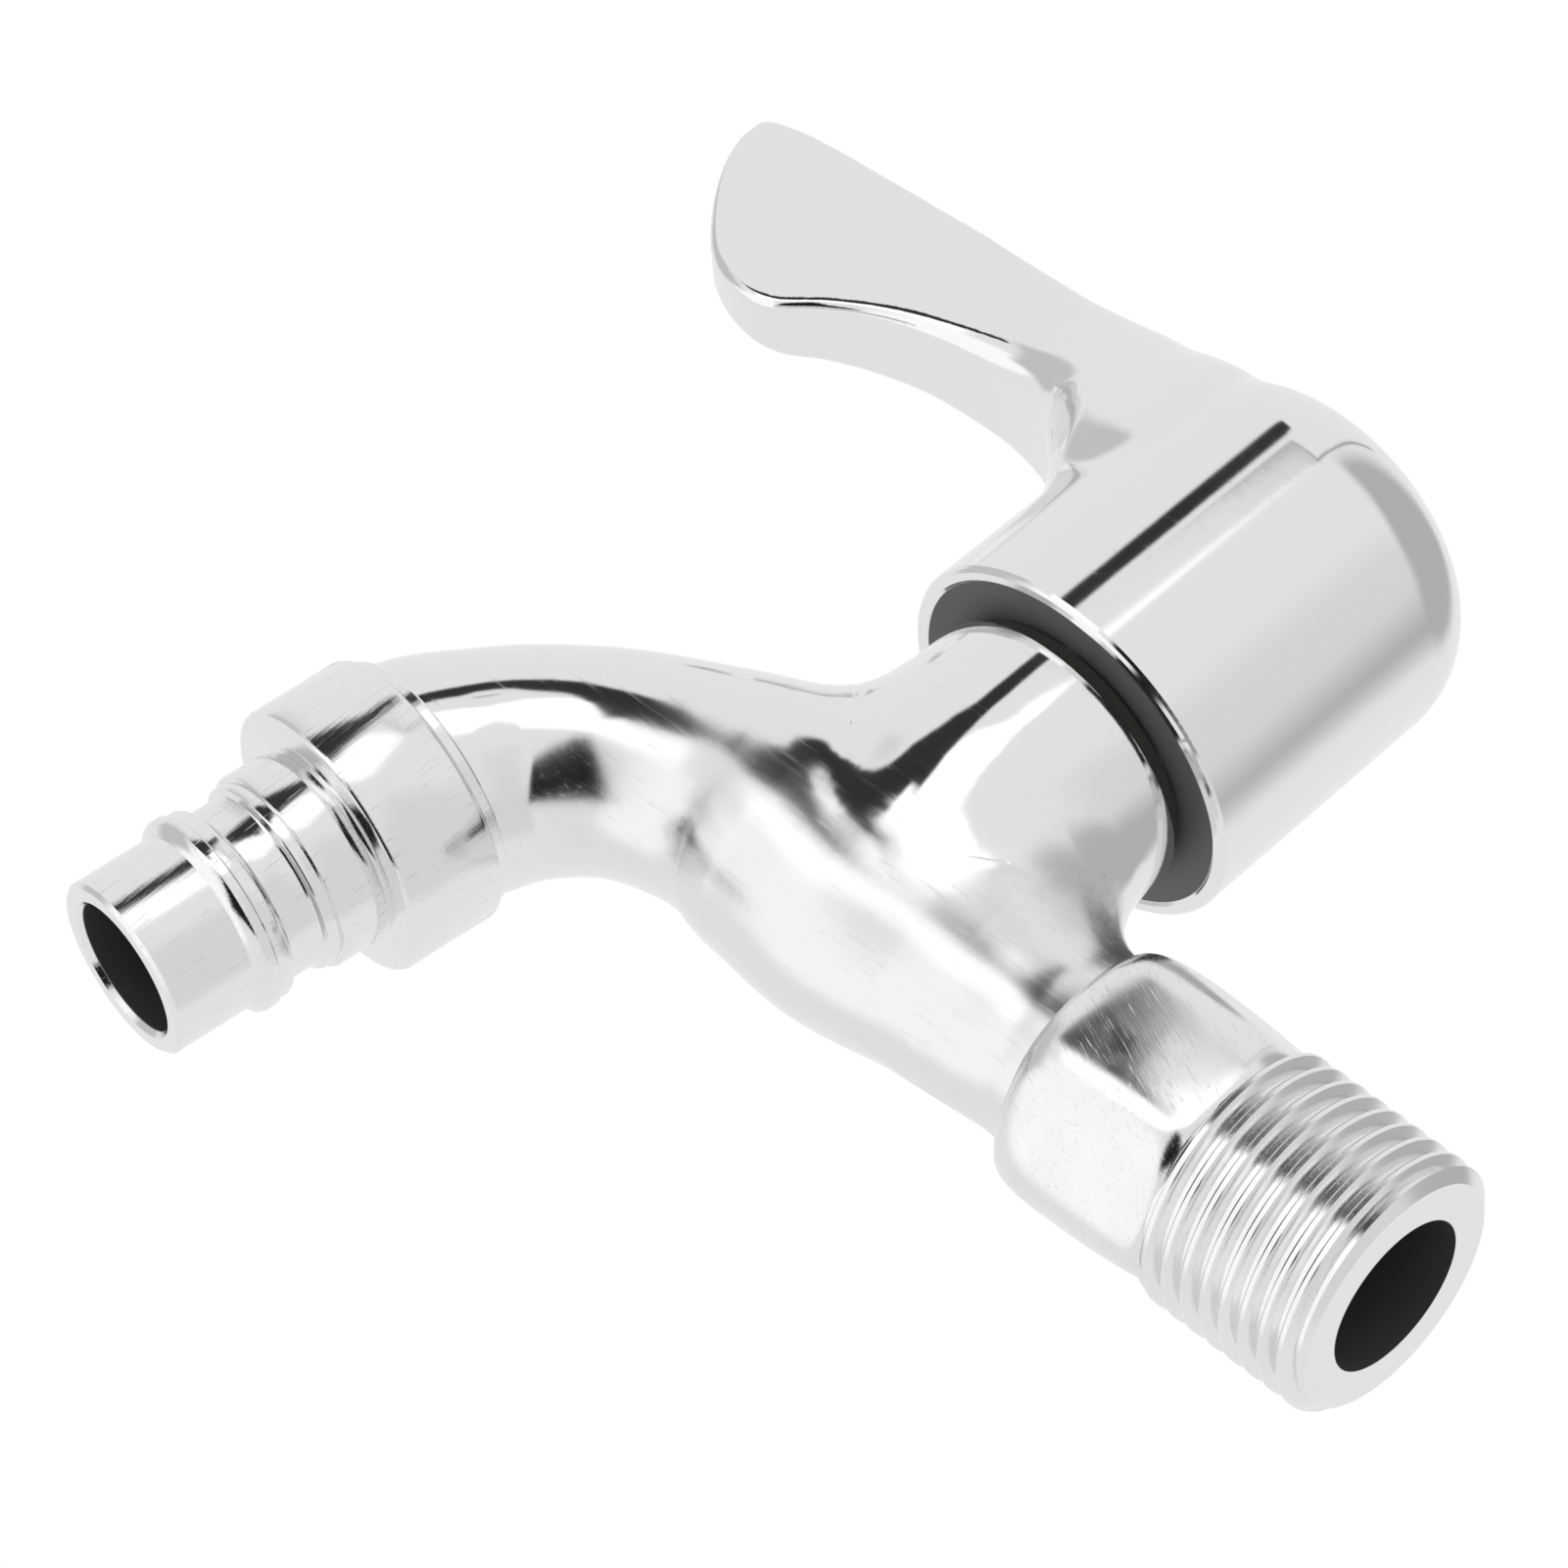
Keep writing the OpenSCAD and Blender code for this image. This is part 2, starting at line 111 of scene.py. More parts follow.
# The camera's backward and right directions
CAMERA_BACK = Vector((0.7722, 0.4718, -0.4256))
CAMERA_RIGHT = Vector((-0.0472, 0.7105, 0.7021))
# How bright the light tent's cloth is, where white is 1
TENT_LEVEL = 0.9
# Panels and gaps of the light tent: what each is, its brightness, the softness of its edge and its
# corners, as degrees right and down from straight up ("up") or right and up from the camera ("camera")
TENT_PANELS = [
    ("bright panel", 1.35, 0.03, [(6, -2, "up"), (18, 25, "up"), (8, 32, "camera"), (-8, 30, "camera"),
                                  (-62, 0, "camera"), (-85, 25, "camera"), (-30, 20, "up")]),
    ("right wall", 0.5, 0.14, [(32, 0, "up"), (24, 15, "up"), (75, 28, "up"), (120, 20, "up"),
                               (90, -60, "up"), (30, -55, "up")]),
    ("low left panel", 1.15, 0.12, [(-38, 20, "camera"), (-34, -60, "camera"), (-70, -70, "camera"),
                                    (-100, 0, "camera"), (-80, 30, "camera")]),
    ("low right wall", 0.78, 0.15, [(22, -65, "camera"), (18, 20, "camera"), (75, 12, "camera"),
                                    (80, -50, "camera")]),
    ("left wall", 0.62, 0.1, [(-80, -45, "up"), (-34, -40, "up"), (-29, 6, "up"), (-80, 18, "up")]),
    ("lower seam", 0.3, 0.006, [(4.2, 14.6), (5, 14), (19, 25), (18, 26.2)]),
    ("middle seam", 0.3, 0.006, [(18, 26), (17.2, 24.8), (28, 0), (29.2, 0)]),
    ("upper seam", 0.3, 0.006, [(28, 0), (29.2, 0), (35.5, -45), (34.3, -45)]),
    ("overhead gap", 0.03, 0.02, [(4.2, -4.2), (-24, 29.6), (-16, 43.8), (2, 12.5), (7.5, 3)]),
    ("wide end of the gap", 0.03, 0.03, [(-5, 8), (-36, 13), (-35, 26), (-25, 37), (-5, 26)]),
    ("camera opening", 0.015, 0.05, [(-10, 27, "camera"), (27, -36, "camera"), (-42, -33, "camera")]),
]


def tent_way(right, other, pole="up"):
    """The direction of a tent corner, from the degrees on a flat chart about the pole."""
    bearing = Vector((right, other))
    turn = math.radians(bearing.length)
    side = bearing.normalized() * math.sin(turn)
    if pole == "up":
        seen = Vector((side.x, math.cos(turn), side.y))
    else:
        seen = Vector((side.x, side.y, math.cos(turn)))
    across, over, back = camera_axes()
    return across * seen.x + over * seen.y + back * seen.z


def camera_axes():
    """The camera's right, up and backward directions."""
    back = CAMERA_BACK.normalized()
    over = back.cross(CAMERA_RIGHT).normalized()
    return over.cross(back), over, back


class FaucetSizes(bpy.types.PropertyGroup):
    """Sizes that shape the dressed pieces"""

    neck_fillet: FloatProperty(
        name="Neck fillet", description="Width over which the neck and the barrel run into each other",
        default=0.011, unit="LENGTH",
    )
    voxel: FloatProperty(
        name="Skin grain", description="Size of the cells that fuse a casting's forms into one skin",
        default=0.00027, unit="LENGTH",
    )
    turned_steps: IntProperty(
        name="Turned steps", description="Number of faces round a turned piece", default=144,
    )
    thread_pitch: FloatProperty(
        name="Thread pitch", description="Pitch of the inlet thread", default=0.001814, unit="LENGTH",
    )
    thread_depth: FloatProperty(
        name="Thread depth", description="Depth of the inlet thread's grooves", default=0.0009, unit="LENGTH",
    )
    thread_length: FloatProperty(
        name="Thread length", description="Length of the inlet thread", default=0.0152, unit="LENGTH",
    )
    wrench_flats: FloatProperty(
        name="Wrench flats", description="Width of the wrench hexagon across its flats", default=0.020,
        unit="LENGTH",
    )
    wrench_length: FloatProperty(
        name="Wrench length", description="Length of the wrench hexagon", default=0.0148, unit="LENGTH",
    )
    dome_round: FloatProperty(
        name="Dome rounding", description="Radius of the rounded shoulder on the handle's dome",
        default=0.008, unit="LENGTH",
    )
    bell_wall: FloatProperty(
        name="Bell wall", description="Thickness of the bell's wall", default=0.0013, unit="LENGTH",
    )


class FaucetFinish(bpy.types.PropertyGroup):
    """Colours and gloss of the faucet's finishes, with painted shade in the bare metal of the bores and the bell's
    hollow
    """

    plate_colour: FloatVectorProperty(
        name="Plating", description="Colour of the bright plating", default=(0.83, 0.83, 0.83),
        subtype="COLOR",
    )
    # Bare metal inside the bores, set far darker than bare brass: painted shade in the bores
    bore_bare_and_shade_colour: FloatVectorProperty(
        name="Bores", description="Colour of the bare metal inside the bores", default=(0.04, 0.04, 0.04),
        subtype="COLOR",
    )
    # Bare metal inside the bell, set dark: painted shade in the hollow
    hollow_bare_and_shade_colour: FloatVectorProperty(
        name="Bell hollow", description="Colour of the bare metal inside the bell",
        default=(0.12, 0.12, 0.12), subtype="COLOR",
    )
    brass_colour: FloatVectorProperty(
        name="Brass", description="Colour of the machined brass", default=(0.72, 0.52, 0.24),
        subtype="COLOR",
    )
    steel_colour: FloatVectorProperty(
        name="Steel", description="Colour of the plain steel pieces", default=(0.55, 0.55, 0.56),
        subtype="COLOR",
    )
    rubber_colour: FloatVectorProperty(
        name="Rubber", description="Colour of the seals", default=(0.02, 0.02, 0.022), subtype="COLOR",
    )
    fibre_colour: FloatVectorProperty(
        name="Fibre", description="Colour of the pressed fibre gasket", default=(0.035, 0.034, 0.033),
        subtype="COLOR",
    )
    ceramic_colour: FloatVectorProperty(
        name="Ceramic", description="Colour of the valve's discs", default=(0.85, 0.84, 0.8),
        subtype="COLOR",
    )
    plating_gloss: FloatProperty(
        name="Plating roughness", description="Roughness of the bright plating", default=0.05, min=0, max=1,
    )


class FaucetStudio(bpy.types.PropertyGroup):
    """The floor and the camera"""

    floor_colour: FloatVectorProperty(
        name="Floor", description="Colour of the floor", default=(0.86, 0.86, 0.86), subtype="COLOR",
    )
    floor_drop: FloatProperty(
        name="Floor drop", description="How far the floor lies below the inlet", default=0.35, unit="LENGTH",
    )
    focal_length: FloatProperty(
        name="Focal length", description="Focal length of the camera in millimetres", default=176.8,
    )
    camera_place: FloatVectorProperty(
        name="Camera", description="Where the camera stands", default=(0.4397, 0.2046, -0.2383),
        subtype="TRANSLATION",
    )


# Shapes


def catmull(p, t):
    """A point on the smooth curve through p[1] and p[2], at the fraction t between them."""
    return tuple(
        0.5 * (2 * b + t * (c - a) + t * t * (2 * a - 5 * b + 4 * c - d) + t ** 3 * (3 * b - a - 3 * c + d))
        for a, b, c, d in zip(*p)
    )


def smooth_path(stations, steps):
    """Points of a smooth curve through the stations, with the given steps between each two."""
    last = len(stations) - 1
    path = []
    for i in range(last):
        span = [stations[max(i - 1, 0)], stations[i], stations[i + 1], stations[min(i + 2, last)]]
        path += [catmull(span, s / steps) for s in range(steps)]
    return path + [stations[last]]


def arc(centre, radius, start, end, steps):
    """Points of a round stretch of an outline, with angles in degrees."""
    turns = [math.radians(start + (end - start) * k / steps) for k in range(steps + 1)]
    return [(centre[0] + radius * math.cos(a), centre[1] + radius * math.sin(a)) for a in turns]


def at_valve(height=0.0):
    """The place on the valve axis at a height above the inlet axis."""
    return Matrix.Translation((0, VALVE_Y, height))


def at_outlet():
    """The place at the nozzle's end, with +Z up the spout."""
    lean = Vector((0, 0, 1)).rotation_difference(-OUTLET_AXIS)
    return Matrix.Translation(OUTLET_TIP) @ lean.to_matrix().to_4x4()


def along_inlet():
    """The place at the inlet's end face, with +Z along -Y into the tap."""
    return Matrix.Rotation(math.radians(90), 4, "X")


def facing_down(height):
    """A shift up by a height in mm, and a turn that points +Z back down."""
    return Matrix.Translation((0, 0, height * MM)) @ Matrix.Rotation(math.pi, 4, "X")


def open_ring(bm, outline):
    """A chain of edges through points of an outline."""
    verts = [bm.verts.new(p) for p in outline]
    return verts, [bm.edges.new(pair) for pair in zip(verts, verts[1:])]


def turned(outline, place, steps):
    """A mesh turned on a lathe from an outline of [radius, height] points."""
    bm = bmesh.new()
    verts, edges = open_ring(bm, [(r * MM, 0, z * MM) for r, z in outline])
    bmesh.ops.spin(
        bm, geom=verts + edges, axis=(0, 0, 1), cent=(0, 0, 0), angle=math.tau, steps=steps, use_merge=True,
    )
    bmesh.ops.remove_doubles(bm, verts=bm.verts, dist=1e-7)
    bmesh.ops.dissolve_degenerate(bm, edges=bm.edges, dist=1e-8)
    bmesh.ops.recalc_face_normals(bm, faces=bm.faces)
    bmesh.ops.transform(bm, matrix=place, verts=bm.verts)
    return bm


def ring_lofted(rings, capped=True):
    """A solid through rings of points, each extruded from the one before, that ends in caps or in itself."""
    bm = bmesh.new()
    first = [bm.verts.new(p) for p in rings[0]]
    edges = [bm.edges.new(pair) for pair in zip(first, first[1:] + first[:1])]
    if capped:
        bmesh.ops.contextual_create(bm, geom=edges)
    verts = first
    for ring in rings[1:]:
        made = set(bmesh.ops.extrude_edge_only(bm, edges=edges)["geom"])
        grown = [e for e in made if isinstance(e, bmesh.types.BMEdge)]
        verts = [next(e.other_vert(v) for e in v.link_edges if e.other_vert(v) in made) for v in verts]
        for v, p in zip(verts, ring):
            v.co = p
        rim = set(verts)
        edges = [e for e in grown if e.verts[0] in rim and e.verts[1] in rim]
    if capped:
        bmesh.ops.contextual_create(bm, geom=edges)
    else:
        bmesh.ops.remove_doubles(bm, verts=bm.verts, dist=1e-7)
    bmesh.ops.recalc_face_normals(bm, faces=bm.faces)
    return bm


def swept(stations, sides, end_axis):
    """A round solid swept through stations of [forward, height, radius], ending square to end_axis."""
    rings = []
    for i, (ahead, height, radius) in enumerate(stations):
        before, after = stations[max(i - 1, 0)], stations[min(i + 1, len(stations) - 1)]
        along = Vector((0, before[0] - after[0], after[1] - before[1])).normalized()
        if i == len(stations) - 1:
            along = end_axis
        across = Vector((1, 0, 0))
        over = across.cross(along)
        centre = Vector((0, VALVE_Y - ahead * MM, height * MM))
        rings.append([
            centre + radius * MM * (math.cos(a) * across + math.sin(a) * over)
            for a in (math.tau * j / sides for j in range(sides))
        ])
    return ring_lofted(rings)


def mesh_from(bm, name):
    """A mesh datablock from a bmesh, which is then freed."""
    mesh = bpy.data.meshes.new(name)
    bm.to_mesh(mesh)
    bm.free()
    return mesh


def placed(data, name):
    """An object in the scene for a mesh or a camera."""
    piece = bpy.data.objects.new(name, data)
    bpy.context.scene.collection.objects.link(piece)
    return piece


def settled(piece):
    """Turns the piece's modifiers into its mesh."""
    bpy.context.view_layer.update()
    graph = bpy.context.evaluated_depsgraph_get()
    mesh = bpy.data.meshes.new_from_object(piece.evaluated_get(graph))
    old = piece.data
    piece.modifiers.clear()
    piece.data = mesh
    mesh.name = piece.name
    bpy.data.meshes.remove(old)


def join_forms(forms, name):
    """One object that holds the meshes of several bmeshes."""
    whole = bmesh.new()
    for form in forms:
        part = mesh_from(form, "form")
        whole.from_mesh(part)
        bpy.data.meshes.remove(part)
    return placed(mesh_from(whole, name), name)


def fused(forms, name, voxel):
    piece = join_forms(forms, name)
    skin = piece.modifiers.new("skin", "REMESH")
    skin.mode = "VOXEL"
    skin.voxel_size = voxel * 1
    even_out(piece, 6, "")
    settled(piece)
    return piece


def cut(piece, forms, operation="DIFFERENCE"):
    """Cuts solids out of a piece, or keeps only what lies in them."""
    cutter = join_forms(forms, "cutter")
    tool = piece.modifiers.new("cut", "BOOLEAN")
    tool.operation = operation
    tool.solver = "EXACT"
    tool.use_self = True
    tool.object = cutter
    settled(piece)
    discard(cutter)


def weigh(piece, name, weight_at):
    """A vertex group with the weight that weight_at gives at each point."""
    group = piece.vertex_groups.new(name=name)
    for v in piece.data.vertices:
        weight = weight_at(v.co)
        if weight > 0:
            group.add([v.index], weight, "REPLACE")
    return group.name


def even_out(piece, rounds, group):
    """Adds a smoothing modifier to a piece."""
    soft = piece.modifiers.new("even", "SMOOTH")
    soft.factor = 0.5
    soft.iterations = rounds
    soft.vertex_group = group


def wrap(piece, target, mode, group):
    """Adds a modifier that lays a piece's points on a target, or only lifts them out of it."""
    skin = piece.modifiers.new("wrap", "SHRINKWRAP")
    skin.target = target
    skin.wrap_method = "NEAREST_SURFACEPOINT"
    skin.wrap_mode = mode
    skin.vertex_group = group


def discard(*helpers):
    """Removes helper objects and their meshes."""
    for helper in helpers:
        mesh = helper.data
        bpy.data.objects.remove(helper)
        bpy.data.meshes.remove(mesh)


def blended(one, other, width):
    """The distance to two forms together, with their corner filled where they cross."""
    (a, way_a), (b, way_b) = one, other
    least_share = 0.12
    width = width * np.clip(1 - (way_a * way_b).sum(axis=1), least_share, 1)
    return np.minimum(a, b) - np.clip(1 - np.abs(a - b) / width, 0, 1) ** 3 * width / 6


def melt(piece, weight_at, passes, rounds):
    """Fills a piece's inner corners where weight_at gives a weight, and takes nothing off its outside."""
    before = placed(piece.data.copy(), "before")
    group = weigh(piece, "melt", weight_at)
    for _ in range(passes):
        even_out(piece, rounds, group)
        wrap(piece, before, "OUTSIDE", group)
    even_out(piece, 5, group)
    settled(piece)
    piece.vertex_groups.clear()
    discard(before)


def nearest(points, path):
    """The index of the path's point that is nearest to each point."""
    size = (path ** 2).sum(axis=1)
    blocks = [points[i:i + 4000] for i in range(0, len(points), 4000)]
    return np.concatenate([np.argmin(size - 2 * block @ path.T, axis=1) for block in blocks])


def from_sweep(points, path):
    """The distance of points in mm, [across, forward, height], from a swept form, and the way out of it."""
    slope = np.gradient(path, axis=0)
    step = np.hypot(slope[:, 0], slope[:, 1])
    near = nearest(points[:, 1:], path[:, :2])
    gap = points[:, 1:] - path[near, :2]
    along = slope[near, :2] / step[near, None]
    past = (gap * along).sum(axis=1)
    over = gap - past[:, None] * along
    radius = path[near, 2] + past * slope[near, 2] / step[near]
    spoke = np.column_stack([points[:, 0], over])
    length = np.linalg.norm(spoke, axis=1)
    return length - radius, spoke / np.maximum(length, 1e-6)[:, None]


def from_turned(points, outline):
    """The distance of points in mm, [across, forward, height], from a turned form, and the way out of it."""
    reach = np.maximum(np.hypot(points[:, 0], points[:, 1]), 1e-6)
    flat = np.column_stack([reach, points[:, 2]])
    slope = np.gradient(outline, axis=0)
    near = nearest(flat, outline)
    out = np.column_stack([slope[near, 1], -slope[near, 0]])
    out /= np.linalg.norm(out, axis=1)[:, None]
    way = np.column_stack([points[:, :2] / reach[:, None] * out[:, :1], out[:, 1]])
    return ((flat - outline[near]) * out).sum(axis=1), way


def from_sections(points, sections):
    """The distance of points from a bar through rounded upright sections along the forward way."""
    ahead = points[:, 1]
    half, low, high, rounding = (np.interp(ahead, sections[:, 0], sections[:, k]) for k in (1, 2, 3, 4))
    rise = (high - low) / 2
    rounding = np.minimum(rounding, np.minimum(half, rise) - 0.1)
    wide = np.abs(points[:, 0]) - half + rounding
    tall = np.abs(points[:, 2] - (high + low) / 2) - rise + rounding
    outside = np.hypot(np.maximum(wide, 0), np.maximum(tall, 0))
    return outside + np.minimum(np.maximum(wide, tall), 0) - rounding


def laid_on(piece, distance):
    """Moves a piece's points along its normals on to the true form, smoothing them on the way."""
    rounds, smoothed, reach = 7, (2, 4), 3.0
    count = len(piece.data.vertices)
    place, way = np.empty(count * 3), np.empty(count * 3)
    for turn in range(rounds):
        if turn in smoothed:
            even_out(piece, 2, "")
            settled(piece)
        mesh = piece.data
        mesh.vertices.foreach_get("co", place)
        mesh.vertex_normals.foreach_get("vector", way)
        points = place.reshape(-1, 3) / MM * (1, -1, 1) + (0, VALVE_Y / MM, 0)
        off = distance(points)
        off[np.abs(off) > reach] = 0
        moved = place.reshape(-1, 3) - way.reshape(-1, 3) * off[:, None] * MM
        mesh.vertices.foreach_set("co", moved.ravel())
        mesh.update()


def opened(piece, place, outline, steps):
    """Cuts a piece off above the place's floor and turns a cup down into it from an outline."""
    bm = bmesh.new()
    bm.from_mesh(piece.data)
    geom = list(bm.verts) + list(bm.edges) + list(bm.faces)
    floor = place.translation
    axis = place.to_3x3() @ Vector((0, 0, 1))
    made = bmesh.ops.bisect_plane(
        bm, geom=geom, plane_co=floor, plane_no=axis, clear_outer=True, dist=1e-7,
    )
    rim = [e for e in made["geom_cut"] if isinstance(e, bmesh.types.BMEdge)]
    spot = Vector((outline[0][0] * MM, 0, outline[0][1] * MM))
    verts, edges = open_ring(bm, [(r * MM, 0, z * MM) for r, z in outline])
    bmesh.ops.transform(bm, matrix=place, verts=verts)
    bmesh.ops.spin(
        bm, geom=verts + edges, axis=axis, cent=floor, angle=math.tau, steps=steps, use_merge=True,
    )
    near = place.inverted()

    def on_edge(v):
        """Whether a point lies on the cup's edge."""
        at = near @ v.co
        return abs(at.z - spot.z) < 1e-6 and abs(at.xy.length - spot.x) < 1e-6

    ring = [e for e in bm.edges if e.is_boundary and e not in rim and all(on_edge(v) for v in e.verts)]
    bmesh.ops.bridge_loops(bm, edges=rim + ring)
    bmesh.ops.remove_doubles(bm, verts=bm.verts, dist=1e-7)
    bmesh.ops.recalc_face_normals(bm, faces=bm.faces)
    bm.to_mesh(piece.data)
    bm.free()


def shade(piece, angle=32.0):
    """Smooth shading that breaks at edges sharper than the angle."""
    piece.data.shade_smooth()
    piece.data.set_sharp_from_angle(angle=math.radians(angle))


def ramp(x, low, high):
    """Rises smoothly from 0 at low to 1 at high."""
    t = min(max((x - low) / (high - low), 0.0), 1.0)
    return t * t * (3 - 2 * t)


def finish_piece(piece, material, body, *nodes):
    """Gives a piece its material and body, and hides the model's nodes it stands for."""
    piece.data.materials.clear()
    piece.data.materials.append(material)
    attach(piece, body)
    if nodes:
        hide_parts(*nodes)


# Shader expressions


class Value:
    """A shader socket that can be used in Python sums."""

    def __init__(self, graph, socket):
        self.graph = graph
        self.socket = socket

    def _sum(self, operation, *values):
        return self.graph.node("ShaderNodeMath", {"operation": operation}, dict(enumerate(values)))

    def __add__(self, other):
        return self._sum("ADD", self, other)

    __radd__ = __add__

    def __sub__(self, other):
        return self._sum("SUBTRACT", self, other)

    def __rsub__(self, other):
        return self._sum("SUBTRACT", other, self)

    def __mul__(self, other):
        return self._sum("MULTIPLY", self, other)

    __rmul__ = __mul__

    def clamp(self):
        """The value held between 0 and 1."""
        return self.graph.node("ShaderNodeClamp", {}, {"Value": self})

    def between(self, low, high):
        """Rises smoothly from 0 at low to 1 at high."""
        return self.graph.node(
            "ShaderNodeMapRange", {"interpolation_type": "SMOOTHSTEP"},
            {"Value": self, "From Min": low, "From Max": high},
        )


class Graph:
    """The node tree of one material or world."""

    def __init__(self, tree):
        self.tree = tree
        tree.nodes.clear()

    def node(self, kind, settings, sockets, output=0):
        """Adds a node, sets it, fills or links its sockets and returns one of its outputs."""
        made = self.tree.nodes.new(kind)
        for key, value in settings.items():
            setattr(made, key, value)
        for key, value in sockets.items():
            if isinstance(value, Value):
                self.tree.links.new(value.socket, made.inputs[key])
            else:
                made.inputs[key].default_value = value
        return Value(self, made.outputs[output]) if made.outputs else made

    def place(self):
        """The place on the object, in metres in the frame."""
        return self.node("ShaderNodeTexCoord", {}, {}, "Object")

    def along(self, vector, way):
        """How far a vector reaches along a way."""
        return self.node("ShaderNodeVectorMath", {"operation": "DOT_PRODUCT"}, {0: vector, 1: way}, "Value")

    def from_axis(self, vector, point, way):
        """How far a place is from the axis through a point."""
        gap = self.node("ShaderNodeVectorMath", {"operation": "SUBTRACT"}, {0: vector, 1: point})
        arm = self.node("ShaderNodeVectorMath", {"operation": "CROSS_PRODUCT"}, {0: gap, 1: way})
        return self.node("ShaderNodeVectorMath", {"operation": "LENGTH"}, {0: arm}, "Value")

    def stretched(self, vector, scale):
        """A vector scaled along each axis."""
        return self.node("ShaderNodeMapping", {}, {"Vector": vector, "Scale": scale})

    def noise(self, vector, scale, detail=2.0, roughness=0.5):
        """A cloud of values about 0.5 with features 1 / scale across."""
        return self.node(
            "ShaderNodeTexNoise", {},
            {"Vector": vector, "Scale": scale, "Detail": detail, "Roughness": roughness},
        )

    def bump(self, height, distance, normal=None):
        """A bumped normal for a height in metres once it is multiplied by distance."""
        sockets = {"Height": height, "Distance": distance, "Strength": 1.0}
        if normal is not None:
            sockets["Normal"] = normal
        return self.node("ShaderNodeBump", {}, sockets)


def rgba(colour, gain=1.0):
    """A colour of the settings as a node's colour."""
    return tuple(min(c * gain, 1.0) for c in colour) + (1,)


def new_material(name):
    """An empty material and its graph."""
    material = bpy.data.materials.new(name)
    material.use_nodes = True
    return material, Graph(material.node_tree)


def surface(graph, sockets):
    """Ends a material's graph in one Principled shader."""
    shader = graph.node("ShaderNodeBsdfPrincipled", {}, sockets)
    graph.node("ShaderNodeOutputMaterial", {}, {"Surface": shader})


def mixed(graph, factor, a, b):
    """A colour between a and b. A Mix node's colour sockets go by number, because their names repeat."""
    return graph.node(
        "ShaderNodeMix", {"data_type": "RGBA"}, {MIX_FACTOR: factor, MIX_A: a, MIX_B: b}, MIX_RESULT,
    )


def plated_material(
    name, ripple, scratches, stretch, rings_along=None, ring_depth=0.0, satin=None, turn=0.0,
    plated=None, bare=None,
):
    """Plating with ripples, scratches, turning marks and satin, and bare metal where plated gives 0, darkened as
    painted shade inside the bores and the bell's hollow.
    """
    finish = bpy.context.scene.faucet_finish
    material, graph = new_material(name)
    place = graph.place()
    cloud = graph.noise(place, CLOUD_GRAIN, 3.0)
    lying = graph.node(
        "ShaderNodeMapping", {"vector_type": "TEXTURE"}, {"Vector": place, "Rotation": (turn, 0, 0)},
    )
    streaks = graph.noise(graph.stretched(lying, stretch), STROKE_GRAIN, 4.0, 0.6)
    scratch = streaks.between(0.56, 0.74)
    dents = graph.noise(place, DENT_GRAIN, 2.0)
    roughness = finish.plating_gloss + 0.05 * cloud + scratches * 0.12 * scratch
    plate = finish.plate_colour
    colour = mixed(graph, scratch * scratches * 0.5, rgba(plate), rgba(plate, 0.93))
    normal = graph.bump(cloud + 0.35 * dents, ripple)
    normal = graph.bump(streaks, scratches * STROKE_DEPTH, normal)
    if satin is not None:
        share = satin(graph, place)
        roughness = roughness + share * (0.12 + 0.1 * streaks)
    if rings_along is not None:
        along = graph.along(place, rings_along)
        rings = graph.node(
            "ShaderNodeTexNoise", {"noise_dimensions": "1D"},
            {"W": along, "Scale": RING_GRAIN, "Detail": 3.0, "Roughness": 0.7},
        )
        normal = graph.bump(rings, ring_depth, normal)
        roughness = roughness + 0.05 * rings
    metallic = 1.0
    if plated is not None:
        # Where the plating share is none, the colour becomes the dark bare metal: painted shade in the bores and
        # the bell's hollow
        metallic = plated(graph, place)
        colour = mixed(graph, metallic, rgba(bare or finish.bore_bare_and_shade_colour), colour)
        roughness = roughness + BARE_ROUGHNESS * (1.0 - metallic)
    surface(graph, {
        "Base Color": colour, "Metallic": metallic, "Roughness": roughness.clamp(), "Normal": normal,
    })
    return material


def plain_material(name, colour, metallic, roughness, grain, depth, spread=0.12):
    """A finish with fine grain and a slight change of shade, for the pieces inside."""
    material, graph = new_material(name)
    place = graph.place()
    cloud = graph.noise(place, grain * 0.2, 3.0)
    fine = graph.noise(place, grain, 3.0, 0.6)
    tint = mixed(graph, cloud, rgba(colour, 1.0 - spread), rgba(colour, 1.0 + spread))
    surface(graph, {
        "Base Color": tint, "Metallic": metallic, "Roughness": (roughness + 0.2 * (fine - 0.5)).clamp(),
        "Normal": graph.bump(fine, depth),
    })
    return material


def outside_bore(graph, place, point, way, radius):
    """Full outside a bore and none inside it; inside, the dark bare colour is painted shade."""
    start, full = PLATING_EDGE
    return graph.from_axis(place, tuple(point), tuple(way)).between(radius + start, radius + full)


def outside_mount(name):
    """The share of plating on a piece with a bore mount, which has none inside."""
    mount = MOUNTS[name]
    radius = mount["dims"]["r_mm"] * MM
    return lambda graph, place: outside_bore(graph, place, mount["pos_m"], mount["axis"], radius)


def outside_bell(hollow_r):
    """The share of plating on the bell, which has none in its hollow, where the dark bare colour is painted shade.
    """
    def share(graph, place):
        """None within the hollow's radius, up to the dome."""
        ceiling = BELL_HIGH.z - 6 * MM
        dome = graph.along(place, (0, 0, 1)).between(ceiling - 0.2 * MM, ceiling + 0.5 * MM)
        wall = outside_bore(graph, place, VALVE_AXIS, (0, 0, 1), hollow_r)
        return 1.0 - (1.0 - wall) * (1.0 - dome)

    return share


# Pieces


